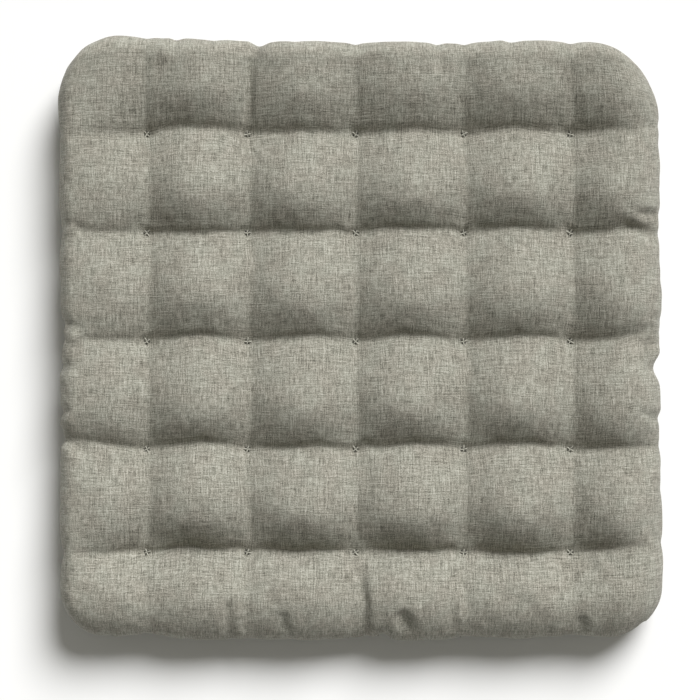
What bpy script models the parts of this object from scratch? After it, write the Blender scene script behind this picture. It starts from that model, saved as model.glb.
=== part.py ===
# Chair seat pad: a square cloth cover in two panels, sewn round the edge with the raw edges turned in,
# holding a loose filling, and pulled together by rows and columns of stitched tufts.
# Metres, +Z up. The origin is on the seat under the pad's middle, and +Y is the back of the chair.
import math

import bmesh
import bpy
from mathutils import Vector

# Outline, measured round the seam
PAD_WIDTH = 0.400
PAD_DEPTH = 0.400
CORNER_RADIUS = {(-1, 1): 0.042, (1, 1): 0.048, (-1, -1): 0.034, (1, -1): 0.034}

# Tufts: evenly pitched columns and rows between the border pillows, each a little off, as sewn
COLUMNS = 5
ROWS = 5
BORDER_PILLOW_X = 0.059
BORDER_PILLOW_Y = 0.0605
COLUMN_DRIFT = (-0.001, -0.0045, -0.003, -0.0015, -0.001)
ROW_DRIFT = (-0.002, -0.003, -0.001, 0.0015, -0.0025)

# Heights above the seat
SEAM_HEIGHT = 0.022
CROWN_TOP = 0.050
CREASE_TOP = 0.036
TUFT_TOP = 0.021
CREASE_UNDER = 0.004
TUFT_UNDER = 0.009

# How far in from the seam the cloth rounds over, above and below
TOP_ROLL = 0.034
UNDER_ROLL = 0.022

# Cloth, seam and thread
CLOTH = 0.0011
SEAM_ALLOWANCE = 0.008
OVERLOCK_REACH = 0.0035
OVERLOCK_THREAD = 0.0007
TIE_RADIUS = 0.0008
KNOT_RADIUS = 0.0024
KNOT_CAP = 0.0006
CLOSING_WIDTH = 0.100
CLOSING_X = 0.030
CLOSING_THREAD_RADIUS = 0.0006
CLOSING_STITCH = 0.005
CLOSING_BITE = 0.0012

# Clearances
FIT_GAP = 0.0003
HOLE_GAP = 0.0004

# Form and fineness of the meshes
CELLS = 4
BORDER_SHARES = (0.0, 0.10, 0.38, 0.68)
TIE_SIDES = 8
KNOT_PINCH = 0.6
PILLOW_FULLNESS = 0.75
WELD = 1e-6
STRAIGHT = 1e-4

# What follows from the sizes above
HALF_WIDTH = PAD_WIDTH / 2
HALF_DEPTH = PAD_DEPTH / 2
SLOT_HALF = FIT_GAP / 2 + CLOTH + FIT_GAP
OVERLOCK_HALF = SLOT_HALF + OVERLOCK_THREAD
OVERLOCK_INNER = SEAM_ALLOWANCE + FIT_GAP + OVERLOCK_THREAD


def sewn_lines(count, half, border, drift):
    """The places of the columns or rows of tufts, from the lowest to the highest."""
    pitch = 2 * (half - border) / (count - 1)
    return [border - half + pitch * number + drift[number] for number in range(count)]


COLUMN_X = sewn_lines(COLUMNS, HALF_WIDTH, BORDER_PILLOW_X, COLUMN_DRIFT)
ROW_Y = sewn_lines(ROWS, HALF_DEPTH, BORDER_PILLOW_Y, ROW_DRIFT)


def stations(half, lines):
    """Places of the mesh's lines from edge to edge: the border's steps, then each crease and its steps."""
    low = [-half + share * (lines[0] + half) for share in BORDER_SHARES]
    high = [half - share * (half - lines[-1]) for share in reversed(BORDER_SHARES)]
    middle = []
    for start, end in zip(lines, lines[1:]):
        middle += [start + (end - start) * step / CELLS for step in range(CELLS)]
    return low + middle + [lines[-1]] + high


STATION_X = stations(HALF_WIDTH, COLUMN_X)
STATION_Y = stations(HALF_DEPTH, ROW_Y)


# Shape of the pad


def phase(place, half, lines):
    """0 on a crease and 0.5 at a pillow's middle. A border pillow keeps 0.5 from its middle to the seam."""
    if place <= lines[0]:
        return min(0.5, (lines[0] - place) / (lines[0] + half))
    if place >= lines[-1]:
        return min(0.5, (place - lines[-1]) / (half - lines[-1]))
    for start, end in zip(lines, lines[1:]):
        if place <= end:
            return (place - start) / (end - start)


def roll(distance, width):
    """Rises from 0 at the seam to 1, as a quarter circle does."""
    if distance >= width:
        return 1.0
    return math.sqrt(1 - (1 - distance / width) ** 2)


def edge_roll(x, y, width):
    return roll(HALF_WIDTH - abs(x), width) * roll(HALF_DEPTH - abs(y), width)


def top_height(x, y, seam):
    """Top surface: low at each tuft, higher along the creases, highest on the pillows."""
    across = math.sin(math.pi * phase(x, HALF_WIDTH, COLUMN_X)) ** PILLOW_FULLNESS
    along = math.sin(math.pi * phase(y, HALF_DEPTH, ROW_Y)) ** PILLOW_FULLNESS
    off_tuft = across + along - across * along
    full = TUFT_TOP + (CREASE_TOP - TUFT_TOP) * off_tuft + (CROWN_TOP - CREASE_TOP) * across * along
    return seam + (full - seam) * edge_roll(x, y, TOP_ROLL)


def under_height(x, y, seam):
    """Underside: flat on the seat under each pillow, lifted along the creases and at the tufts."""
    flat_from = math.sin(math.pi / CELLS)
    across = min(1.0, math.sin(math.pi * phase(x, HALF_WIDTH, COLUMN_X)) / flat_from)
    along = min(1.0, math.sin(math.pi * phase(y, HALF_DEPTH, ROW_Y)) / flat_from)
    off_tuft = across + along - across * along
    lifted = TUFT_UNDER * (1 - off_tuft) + CREASE_UNDER * (off_tuft - across * along)
    return seam + (lifted - seam) * edge_roll(x, y, UNDER_ROLL)


def corner_at(x, y):
    """Radius, centre and quadrant of the corner that a point belongs to."""
    quadrant = (-1 if x < 0 else 1, -1 if y < 0 else 1)
    radius = CORNER_RADIUS[quadrant]
    centre = Vector((quadrant[0] * (HALF_WIDTH - radius), quadrant[1] * (HALF_DEPTH - radius)))
    return radius, centre, quadrant


def rounded(x, y):
    """Moves a point of the plain rectangle into the one with round corners."""
    radius, centre, (side_x, side_y) = corner_at(x, y)
    across = side_x * (x - centre.x) / radius
    along = side_y * (y - centre.y) / radius
    if across <= 0 or along <= 0:
        return x, y
    round_x = across * math.sqrt(1 - along**2 / 2)
    round_y = along * math.sqrt(1 - across**2 / 2)
    return centre.x + side_x * radius * round_x, centre.y + side_y * radius * round_y


def inward(x, y):
    """Direction into the pad, square to its edge, from a point of the seam."""
    radius, centre, (side_x, side_y) = corner_at(x, y)
    out_x = side_x * (x - centre.x)
    out_y = side_y * (y - centre.y)
    if out_x > 0 and out_y > 0:
        return (centre - Vector((x, y))).normalized()
    if out_x > out_y:
        return Vector((-side_x, 0))
    return Vector((0, -side_y))


def rim():
    """Points of the seam, anticlockwise from the front left corner, with none along the straight sides."""
    square = [(x, -HALF_DEPTH) for x in STATION_X]
    square += [(HALF_WIDTH, y) for y in STATION_Y[1:]]
    square += [(x, HALF_DEPTH) for x in reversed(STATION_X[:-1])]
    square += [(-HALF_WIDTH, y) for y in reversed(STATION_Y[1:-1])]
    points = [Vector(rounded(x, y)) for x, y in square]
    turns = []
    for before, point, after in zip(points[-1:] + points, points, points[1:] + points[:1]):
        if abs((point - before).normalized().cross((after - point).normalized())) > STRAIGHT:
            turns.append(point)
    return turns


def outline(inset):
    """The seam's points, moved this far into the pad."""
    return [point + inset * inward(*point) for point in rim()]


# Scene


def clear_scene():
    for obj in list(bpy.data.objects):
        bpy.data.objects.remove(obj)


def new_collection(name):
    collection = bpy.data.collections.new(name)
    bpy.context.scene.collection.children.link(collection)
    return collection


def new_material(name, colour, roughness):
    material = bpy.data.materials.new(name)
    material.use_nodes = True
    shader = material.node_tree.nodes["Principled BSDF"]
    shader.inputs["Base Color"].default_value = (*colour, 1)
    shader.inputs["Roughness"].default_value = roughness
    shader.inputs["Metallic"].default_value = 0
    material.diffuse_color = (*colour, 1)
    return material


def new_object(name, data, collection, material=None):
    obj = bpy.data.objects.new(name, data)
    collection.objects.link(obj)
    if material:
        data.materials.append(material)
    return obj


def mesh_from(bm, name):
    mesh = bpy.data.meshes.new(name)
    bm.to_mesh(mesh)
    bm.free()
    return mesh


def as_mesh_object(curve_object, collection, material=None):
    """Turns a curve object into a mesh object of the same name, with its caps welded on."""
    name = curve_object.name
    graph = bpy.context.evaluated_depsgraph_get()
    mesh = bpy.data.meshes.new_from_object(curve_object.evaluated_get(graph))
    matrix = curve_object.matrix_world.copy()
    bpy.data.objects.remove(curve_object)
    bm = bmesh.new()
    bm.from_mesh(mesh)
    bmesh.ops.remove_doubles(bm, verts=bm.verts, dist=WELD)
    bmesh.ops.recalc_face_normals(bm, faces=bm.faces)
    bm.to_mesh(mesh)
    bm.free()
    mesh.materials.clear()
    obj = new_object(name, mesh, collection, material)
    obj.matrix_world = matrix
    return obj


def make_cutter(obj):
    obj.hide_render = True
    obj.display_type = "WIRE"


def cut(obj, cutter):
    boolean = obj.modifiers.new(cutter.name, "BOOLEAN")
    boolean.operation = "DIFFERENCE"
    boolean.solver = "EXACT"
    boolean.object = cutter


def poly_curve(name, loops, dimensions):
    """A curve object with one straight-sided spline for each loop of 2D or 3D points."""
    curve = bpy.data.curves.new(name, "CURVE")
    curve.dimensions = dimensions
    for points, cyclic in loops:
        spline = curve.splines.new("POLY")
        spline.points.add(len(points) - 1)
        spline.use_cyclic_u = cyclic
        for place, point in zip(points, spline.points):
            point.co = (*place.to_3d(), 1)
    return bpy.data.objects.new(name, curve)


# Cloth


def add_sheet(bm, height, seam):
    """Adds a grid of the pad's outline to the mesh, lifted to its height. Returns its vertices."""
    cells_x = len(STATION_X) - 1
    cells_y = len(STATION_Y) - 1
    grid = bmesh.ops.create_grid(bm, x_segments=cells_x, y_segments=cells_y, size=1)["verts"]
    for vertex in grid:
        x = STATION_X[round((vertex.co.x + 1) / 2 * cells_x)]
        y = STATION_Y[round((vertex.co.y + 1) / 2 * cells_y)]
        vertex.co = (*rounded(x, y), height(x, y, seam))
    faces = {face for vertex in grid for face in vertex.link_faces}
    bmesh.ops.triangulate(bm, faces=list(faces), quad_method="FIXED")
    return grid


def turn_in_edges(bm):
    """Folds the cloth's edge flat into the pad, as its seam allowance."""
    rim = [edge for edge in bm.edges if edge.is_boundary]
    folded = bmesh.ops.extrude_edge_only(bm, edges=rim)["geom"]
    for vertex in folded:
        if isinstance(vertex, bmesh.types.BMVert):
            vertex.co += (inward(vertex.co.x, vertex.co.y) * SEAM_ALLOWANCE).to_3d()


def make_panel(name, height, seam, faces_down, tuft_holes, parts, material):
    bm = bmesh.new()
    add_sheet(bm, height, seam)
    turn_in_edges(bm)
    if faces_down:
        bmesh.ops.reverse_faces(bm, faces=bm.faces)
    panel = new_object(name, mesh_from(bm, name), parts, material)
    panel.data.shade_smooth()
    wall = panel.modifiers.new("cloth", "SOLIDIFY")
    wall.thickness = CLOTH
    wall.offset = -1
    cut(panel, tuft_holes)
    return panel


def make_filling(tuft_holes, seam_groove, parts, material):
    """The fill takes all the room in the cover, round the turned-in seam and the ties."""
    bm = bmesh.new()
    add_sheet(bm, top_height, SEAM_HEIGHT)
    under = add_sheet(bm, under_height, SEAM_HEIGHT)
    under_faces = {face for vertex in under for face in vertex.link_faces}
    bmesh.ops.reverse_faces(bm, faces=list(under_faces))
    bmesh.ops.remove_doubles(bm, verts=bm.verts, dist=WELD)
    filling = new_object("filling", mesh_from(bm, "filling"), parts, material)
    shrink = filling.modifiers.new("inside_the_cloth", "DISPLACE")
    shrink.strength = -(CLOTH + FIT_GAP)
    shrink.mid_level = 0
    cut(filling, seam_groove)
    cut(filling, tuft_holes)
    return filling


def make_seam_groove(cutters):
    """Cuts room in the filling for the turned-in edges and the overlock that joins them."""
    inner = outline(OVERLOCK_INNER + FIT_GAP)
    outer = outline(-CLOTH)
    groove = poly_curve("seam_groove", [(inner, True), (outer, True)], "2D")
    groove.data.fill_mode = "BOTH"
    groove.data.extrude = OVERLOCK_HALF + FIT_GAP
    cutters.objects.link(groove)
    groove.location.z = SEAM_HEIGHT
    bpy.context.view_layer.update()
    groove = as_mesh_object(groove, cutters)
    make_cutter(groove)
    return groove


# Thread


def make_overlock(parts, cutters, material):
    """A thread channel that wraps both raw edges, all round but for the gap left for filling."""
    mouth = SEAM_ALLOWANCE - OVERLOCK_REACH
    floor = SEAM_ALLOWANCE + FIT_GAP
    section = [
        (mouth, OVERLOCK_HALF),
        (OVERLOCK_INNER, OVERLOCK_HALF),
        (OVERLOCK_INNER, -OVERLOCK_HALF),
        (mouth, -OVERLOCK_HALF),
        (mouth, -SLOT_HALF),
        (floor, -SLOT_HALF),
        (floor, SLOT_HALF),
        (mouth, SLOT_HALF),
    ]
    # The path goes anticlockwise, so the section's left is the inside of the pad.
    profile_points = [Vector((SEAM_ALLOWANCE - inset, height)) for inset, height in section]
    profile = poly_curve("overlock_section", [(profile_points, True)], "2D")
    cutters.objects.link(profile)
    make_cutter(profile)
    front = SEAM_ALLOWANCE - HALF_DEPTH
    gap_right = Vector((CLOSING_X + CLOSING_WIDTH / 2, front))
    gap_left = Vector((CLOSING_X - CLOSING_WIDTH / 2, front))
    turns = outline(SEAM_ALLOWANCE)
    start = next(number for number, point in enumerate(turns) if point.x > gap_right.x)
    path = [gap_right] + turns[start:] + turns[:start] + [gap_left]
    overlock = poly_curve("seam_overlock", [(path, False)], "3D")
    overlock.data.twist_mode = "Z_UP"
    overlock.data.bevel_mode = "OBJECT"
    overlock.data.bevel_object = profile
    overlock.data.use_fill_caps = True
    overlock.location.z = SEAM_HEIGHT
    parts.objects.link(overlock)
    bpy.context.view_layer.update()
    return as_mesh_object(overlock, parts, material)


def make_tuft_holes(cutters):
    """One cutter with a needle hole for every tie."""
    bm = bmesh.new()
    for x in COLUMN_X:
        for y in ROW_Y:
            bar = bmesh.ops.create_cone(
                bm,
                cap_ends=True,
                segments=TIE_SIDES,
                radius1=TIE_RADIUS + HOLE_GAP,
                radius2=TIE_RADIUS + HOLE_GAP,
                depth=2 * CROWN_TOP,
            )["verts"]
            bmesh.ops.translate(bm, verts=bar, vec=(x, y, CROWN_TOP / 2))
    holes = new_object("tuft_holes", mesh_from(bm, "tuft_holes"), cutters)
    make_cutter(holes)
    return holes


def pit_slope(height, column, row):
    """Steepest rise of the cloth away from a tuft, towards the mesh's next lines."""
    x = COLUMN_X[column]
    y = ROW_Y[row]
    at_x = STATION_X.index(x)
    at_y = STATION_Y.index(y)
    level = height(x, y, SEAM_HEIGHT)
    steepest = 0.0
    for step_x in (-1, 0, 1):
        for step_y in (-1, 0, 1):
            if step_x or step_y:
                next_x = STATION_X[at_x + step_x]
                next_y = STATION_Y[at_y + step_y]
                change = abs(height(next_x, next_y, SEAM_HEIGHT) - level)
                steepest = max(steepest, change / math.hypot(next_x - x, next_y - y))
    return steepest


def knot_profile(level, slope, up):
    """Half section of a knot nested in its pit, from the tie's side to the knot's middle."""
    clear = FIT_GAP * math.hypot(1, slope)
    seat = [(radius, slope * radius + clear) for radius in (TIE_RADIUS, KNOT_RADIUS)]
    crown = seat[1][1] + KNOT_CAP
    section = seat + [(KNOT_RADIUS, crown), (0, crown)]
    return [Vector((radius, 0, level + up * height)) for radius, height in section]


def make_tie(name, column, row, parts, material):
    """A thread through the pad, with a stitched star at each end that keeps the cloth down."""
    above = knot_profile(TUFT_TOP, pit_slope(top_height, column, row), 1)
    below = knot_profile(TUFT_UNDER, pit_slope(under_height, column, row), -1)
    bm = bmesh.new()
    profile = [bm.verts.new(place) for place in reversed(above)]
    profile += [bm.verts.new(place) for place in below]
    edges = [bm.edges.new(pair) for pair in zip(profile, profile[1:])]
    bmesh.ops.spin(
        bm,
        geom=profile + edges,
        axis=(0, 0, 1),
        cent=(0, 0, 0),
        angle=2 * math.pi,
        steps=TIE_SIDES,
        use_merge=True,
    )
    bmesh.ops.remove_doubles(bm, verts=bm.verts, dist=WELD)
    for vertex in bm.verts:
        turn = round(math.atan2(vertex.co.y, vertex.co.x) / (2 * math.pi) * TIE_SIDES)
        on_knot_rim = vertex.co.xy.length > (TIE_RADIUS + KNOT_RADIUS) / 2
        if turn % 2 and on_knot_rim:
            vertex.co.xy *= KNOT_PINCH
    bmesh.ops.recalc_face_normals(bm, faces=bm.faces)
    tie = new_object(name, mesh_from(bm, name), parts, material)
    tie.location = (COLUMN_X[column], ROW_Y[row], 0)
    return tie


def make_closing_stitch(parts, material):
    """A ladder stitch in the groove of the seam, over the gap that was left for filling."""
    steps = round(CLOSING_WIDTH / CLOSING_STITCH)
    reach = HALF_DEPTH + CLOSING_THREAD_RADIUS + FIT_GAP
    path = []
    for step in range(steps + 1):
        x = CLOSING_X - CLOSING_WIDTH / 2 + step * CLOSING_WIDTH / steps
        bite = CLOSING_BITE if step % 2 else -CLOSING_BITE
        path.append(Vector((x, -reach, SEAM_HEIGHT + bite)))
    stitch = poly_curve("closing_stitch", [(path, False)], "3D")
    stitch.data.bevel_depth = CLOSING_THREAD_RADIUS
    stitch.data.bevel_resolution = 1
    stitch.data.use_fill_caps = True
    parts.objects.link(stitch)
    bpy.context.view_layer.update()
    return as_mesh_object(stitch, parts, material)


def main():
    clear_scene()
    parts = new_collection("chair_seat_pad")
    cutters = new_collection("cutters")
    top_cloth = new_material("top_cloth", (0.27, 0.26, 0.21), 0.9)
    under_cloth = new_material("under_cloth", (0.27, 0.26, 0.21), 0.9)
    fill = new_material("loose_fill", (0.16, 0.10, 0.06), 0.8)
    seam_thread = new_material("seam_thread", (0.40, 0.39, 0.33), 0.7)
    tie_thread = new_material("tie_thread", (0.30, 0.29, 0.24), 0.7)
    closing_thread = new_material("closing_thread", (0.36, 0.35, 0.29), 0.7)

    tuft_holes = make_tuft_holes(cutters)
    seam_groove = make_seam_groove(cutters)
    top_seam = SEAM_HEIGHT + FIT_GAP / 2
    under_seam = SEAM_HEIGHT - FIT_GAP / 2
    pieces = [
        make_panel("top_panel", top_height, top_seam, False, tuft_holes, parts, top_cloth),
        make_panel("bottom_panel", under_height, under_seam, True, tuft_holes, parts, under_cloth),
        make_filling(tuft_holes, seam_groove, parts, fill),
        make_overlock(parts, cutters, seam_thread),
        make_closing_stitch(parts, closing_thread),
    ]
    for row in range(ROWS):
        for column in range(COLUMNS):
            # Row 1 is at the back of the pad and column 1 at its left.
            name = f"tuft_tie_r{ROWS - row}_c{column + 1}"
            pieces.append(make_tie(name, column, row, parts, tie_thread))

    origin = bpy.data.objects.new("pad_origin", None)
    parts.objects.link(origin)
    for piece in pieces:
        piece.parent = origin


main()
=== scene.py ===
import math

import bpy
import numpy as np
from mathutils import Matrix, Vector, noise
from mathutils.bvhtree import BVHTree


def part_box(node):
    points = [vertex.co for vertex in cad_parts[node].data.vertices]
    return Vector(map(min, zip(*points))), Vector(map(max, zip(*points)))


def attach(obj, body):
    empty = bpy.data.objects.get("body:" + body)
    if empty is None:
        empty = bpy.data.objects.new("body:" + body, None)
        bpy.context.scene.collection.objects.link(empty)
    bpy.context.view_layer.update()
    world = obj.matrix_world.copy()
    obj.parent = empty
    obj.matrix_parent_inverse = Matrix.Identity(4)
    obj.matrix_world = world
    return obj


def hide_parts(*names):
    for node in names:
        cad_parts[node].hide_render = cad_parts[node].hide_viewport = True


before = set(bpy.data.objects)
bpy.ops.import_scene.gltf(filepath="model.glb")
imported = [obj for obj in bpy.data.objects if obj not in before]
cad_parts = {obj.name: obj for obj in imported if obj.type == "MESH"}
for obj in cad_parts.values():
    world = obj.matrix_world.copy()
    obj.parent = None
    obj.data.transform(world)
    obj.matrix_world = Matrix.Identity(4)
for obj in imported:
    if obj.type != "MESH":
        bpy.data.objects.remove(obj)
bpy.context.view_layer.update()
scene = bpy.context.scene
print("frame loaded")

# Places taken from the frame: columns run left to right, rows front to back.
tuftRows, tuftColumns = 5, 5


def tieNode(row, column):
    return f"tuft_tie_r{tuftRows - row}_c{column + 1}"


def middleOf(node):
    low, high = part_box(node)
    return (low + high) / 2


columnX = [middleOf(tieNode(0, column)).x for column in range(tuftColumns)]
rowY = [middleOf(tieNode(row, 0)).y for row in range(tuftRows)]
topLow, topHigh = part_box("top_panel")
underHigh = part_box("bottom_panel")[1]
halfWidth = topHigh.x
halfDepth = topHigh.y
seamHeight = (topLow.z + underHigh.z) / 2
crownHeight = topHigh.z


def deselectAll():
    bpy.ops.object.select_all(action="DESELECT")


def makeOnly(piece):
    deselectAll()
    piece.select_set(True)
    bpy.context.view_layer.objects.active = piece


def setMode(mode):
    bpy.ops.object.mode_set(mode=mode)


def settlePlace():
    bpy.ops.object.transform_apply(location=True, rotation=True, scale=True)


def applyModifier(piece, modifier):
    makeOnly(piece)
    bpy.ops.object.modifier_apply(modifier=modifier.name)


def readVertices(mesh, kind):
    values = np.empty(len(mesh.vertices) * 3)
    mesh.vertices.foreach_get(kind, values)
    return values.reshape(-1, 3)


def readPoints(mesh):
    return readVertices(mesh, "co")


def readNormals(mesh):
    return readVertices(mesh, "normal")


def writePoints(mesh, points):
    mesh.vertices.foreach_set("co", np.ascontiguousarray(points).ravel())
    mesh.update()


# Which slice of the noise each use reads, so that no two look alike.
noiseLayer = {"lumps": 3.0, "wander": 7.0, "bow": 13.0, "nextRow": 2.7, "edge": 5.0, "husk": 2.0}

# The filled cover
coverLook = {
    "cellsInPillow": 18,      # mesh cells across one pillow, the border ones too
    "clothFullness": 1.12,    # cloth between two tufts, against their distance
    "borderCloth": 0.080,     # cloth from the outer tufts to the seam
    "borderCrowding": 1.5,    # above 1, a border's mesh lines lie closer at the seam
    "borderCrest": 0.55,      # where a border pillow is at its crest, from crease to seam
    "cutRadius": 0.050,       # corners of the flat cut
    "cornerRadius": {(-1, 1): 0.043, (1, 1): 0.056, (-1, -1): 0.037, (1, -1): 0.037},
    "tuftTop": 0.0265,
    # each row from front to back: top of its crease halfway between tufts, how far the crease
    # bows to the back in each gap, how far it climbs to the left and right edges, and how much
    # it has faded at them
    "rows": [
        {"crease": 0.0245, "bow": (0.0022, 0.0012, 0.0009, -0.0014),
         "climb": (0.000, 0.0065), "fade": (1.1, 1.0)},
        {"crease": 0.0320, "bow": (0.0036, 0.0016, 0.0032, 0.0032),
         "climb": (0.009, 0.002), "fade": (0.55, 0.35)},
        {"crease": 0.0340, "bow": (0.0034, 0.0036, 0.0038, 0.0032),
         "climb": (0.002, 0.006), "fade": (0.95, 0.35)},
        {"crease": 0.0340, "bow": (0.0006, 0.0014, 0.0034, 0.0032),
         "climb": (0.000, 0.004), "fade": (0.9, 0.35)},
        {"crease": 0.0330, "bow": (0.0042, 0.0016, 0.0022, 0.0034),
         "climb": (0.000, 0.006), "fade": (1.1, 0.8)},
    ],
    # each column from left to right: sideways bow, and how much it has faded at the front and
    # back edges
    "columns": [
        {"bow": 0.0016, "fade": (1.0, 0.7)},
        {"bow": 0.0020, "fade": (0.8, 0.05)},
        {"bow": 0.0006, "fade": (0.45, 0.75)},
        {"bow": 0.0018, "fade": (0.85, 0.8)},
        {"bow": 0.0012, "fade": (1.0, 1.0)},
    ],
    "columnDepth": (0.0092, 0.0165),    # below the crowns, at a pillow's back and front
    "rowSkew": 1.3,           # above 1, pillows are steeper at their front
    "frontSkew": 1.2,         # the same for the row of pillows behind the front crease
    "rowFullness": 0.82,
    "columnFullness": 1.0,
    "creaseWander": 0.0014,
    "wanderLength": 0.011,
    "wanderStretch": 0.3,     # below 1, the wander changes more slowly along y
    "wanderReach": 0.012,
    "bowUneven": 0.8,         # how unevenly a crease bows, against its bow
    "bowLength": 0.026,
    "bowReach": 0.034,        # how far to each side a crease takes the cloth with it
    "climbEase": 1.3,
    "topRoll": {"left": 0.010, "right": 0.030, "back": 0.011, "front": 0.032},
    "tuftUnder": 0.009,
    "creaseUnder": 0.004,
    "underSwell": 0.5,
    "underRoll": {"left": 0.020, "right": 0.022, "back": 0.020, "front": 0.022},
    "edgeReach": 0.03,        # how far in from the seam the edge's own shape reaches
    "edgeEase": 1.5,
    "scallop": 0.0016,        # how far a crease pulls the edge in
    "scallopFullness": 0.7,
    "edgeWave": 0.0012,
    "waveLength": 0.022,
    "waveMiddle": 0.25,
    # how far the outline is drawn in, or let out below 0, along each side
    "edgeIn": {
        "back": [(-0.2, -0.0020), (-0.17, -0.0035), (-0.135, -0.0030), (-0.12, -0.0005),
                 (-0.08, -0.0005), (-0.065, 0.0012), (-0.03, 0.0010), (0.03, 0.0012),
                 (0.05, 0.0022), (0.07, 0.0010), (0.2, 0.0)],
        "front": [(-0.2, 0.0), (-0.16, 0.0020), (-0.13, 0.0020), (-0.12, 0.0),
                  (-0.09, -0.0012), (0.0, -0.0002), (0.012, 0.0010), (0.03, -0.0010),
                  (0.05, -0.0012), (0.08, 0.0010), (0.12, 0.0), (0.142, 0.0020), (0.2, 0.0010)],
        "left": [(-0.2, 0.0), (-0.03, 0.0003), (0.0, 0.0015), (0.02, 0.0005), (0.1, -0.0003),
                 (0.14, -0.0015), (0.2, -0.0012)],
        "right": [(-0.2, -0.0010), (-0.15, -0.0030), (-0.1, -0.0015), (-0.03, -0.0006),
                  (-0.018, 0.0008), (0.003, -0.0026), (0.017, -0.0024), (0.04, -0.0010),
                  (0.09, -0.0008), (0.2, 0.0)],
    },
    "lumps": 0.0012,
    "lumpLength": 0.028,
    # how firmly the seam, the underside and the top hold their place while the cover is
    # filled, and how stiff and how slack the cloth is
    "holdSeam": 0.7,
    "holdUnder": 0.9,
    "holdTop": 0.2,
    "mass": 0.001,
    "tension": 40,
    "compression": 5,
    "shear": 5,
    "bending": 0.08,
    "damping": 2,
    "airDamping": 2,
    "crownSlack": 0.02,
    "creaseSlack": 0.10,
    "slackReach": 0.02,       # how far in from the seam the cloth is as slack as in a crease
    "underSlack": 0.2,        # slack of the underside, against the top's
    "pressure": 60.0,
    "pinStiffness": 5,
    "quality": 6,
    "frames": 20,
    "mostMove": 0.008,
    "pitRadius": 0.0055,      # the cloth lies flat under each stitched star
    "pitHold": 0.85,
    "seamGroove": 0.0011,
    "seamAllowance": 0.0065,
    "allowanceSteps": (0.3, 0.7),
    "allowanceLift": 0.0011,  # the turned-in edges lie this far above and below the seam
    "clothThickness": 0.0009,
}


def clothLines(half, lines):
    # for each mesh line, its place on the flat cloth and its place on the filled pad
    look = coverLook
    cells = look["cellsInPillow"]
    edgeLow = lines[0] * look["clothFullness"] - look["borderCloth"]
    edgeHigh = lines[-1] * look["clothFullness"] + look["borderCloth"]
    cloth, place = [], []
    for step in range(cells):
        share = step / cells
        cloth.append(edgeLow + look["borderCloth"] * share)
        place.append(-half + (lines[0] + half) * share ** look["borderCrowding"])
    for start, end in zip(lines, lines[1:]):
        for step in range(cells):
            place.append(start + (end - start) * step / cells)
            cloth.append(place[-1] * look["clothFullness"])
    for step in range(cells + 1):
        share = 1 - step / cells
        cloth.append(edgeHigh - look["borderCloth"] * share)
        place.append(half - (half - lines[-1]) * share ** look["borderCrowding"])
    return np.array(cloth), np.array(place)


def shares(place, lines):
    # 0 at a pillow's back crease, 1 at its front one; in the borders 1 and 0 at the crease only
    share = np.full(place.shape, 0.5)
    for start, end in zip(lines, lines[1:]):
        inside = (place >= start) & (place <= end)
        share[inside] = (end - place[inside]) / (end - start)
    return share


def phases(place, lines, half, skew):
    # 0 on a crease, 0.5 at a pillow's crest; a border pillow stays at its crest out to the seam
    crest = coverLook["borderCrest"]
    phase = shares(place, lines) ** skew
    front = (lines[0] - place) / ((lines[0] + half) * crest)
    phase = np.where(place < lines[0], np.clip(front, 0, 1) * 0.5, phase)
    back = (place - lines[-1]) / ((half - lines[-1]) * crest)
    return np.where(place > lines[-1], np.clip(back, 0, 1) * 0.5, phase)


def swell(phase, fullness):
    return np.sin(math.pi * phase) ** fullness


def roll(distance, width):
    share = np.clip(1 - distance / width, 0, 1)
    return np.sqrt(np.clip(1 - share ** 2, 0, 1))


def between(place, lines):
    # 0 at each tuft line, 1 midway between two, 0 again outside the last
    share = shares(place, lines)
    inside = (place > lines[0]) & (place < lines[-1])
    return np.where(inside, np.sin(share * math.pi), 0)


def eased(share):
    return share ** 2 * (3 - 2 * share)


def nearLine(place, line, reach):
    return eased(np.clip(1 - abs(place - line) / reach, 0, 1))


def roundCorner(x, y, halfX, halfY, radii):
    # moves points of a rectangle into one with round corners
    newX, newY = x.copy(), y.copy()
    for (sideX, sideY), radius in radii.items():
        across = (sideX * x - (halfX - radius)) / radius
        along = (sideY * y - (halfY - radius)) / radius
        inCorner = (across > 0) & (along > 0)
        a, b = across[inCorner], along[inCorner]
        newX[inCorner] = sideX * (halfX - radius + radius * a * np.sqrt(1 - b ** 2 / 2))
        newY[inCorner] = sideY * (halfY - radius + radius * b * np.sqrt(1 - a ** 2 / 2))
    return newX, newY


def ripple(x, y, length, layer):
    return np.array([noise.noise(Vector((a / length, b / length, layer))) for a, b in zip(x, y)])


def paintGroup(piece, name, weights):
    group = piece.vertex_groups.new(name=name)
    levels = 40
    steps = np.rint(weights * levels).astype(int)
    for step in np.unique(steps):
        group.add([int(n) for n in np.flatnonzero(steps == step)], step / levels, "REPLACE")


def makeSheet(name):
    deselectAll()
    cells = coverLook["cellsInPillow"] * (tuftColumns + 1)
    bpy.ops.mesh.primitive_grid_add(x_subdivisions=cells, y_subdivisions=cells, size=2,
                                    calc_uvs=True)
    sheet = bpy.context.object
    sheet.name = name
    return sheet


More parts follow.
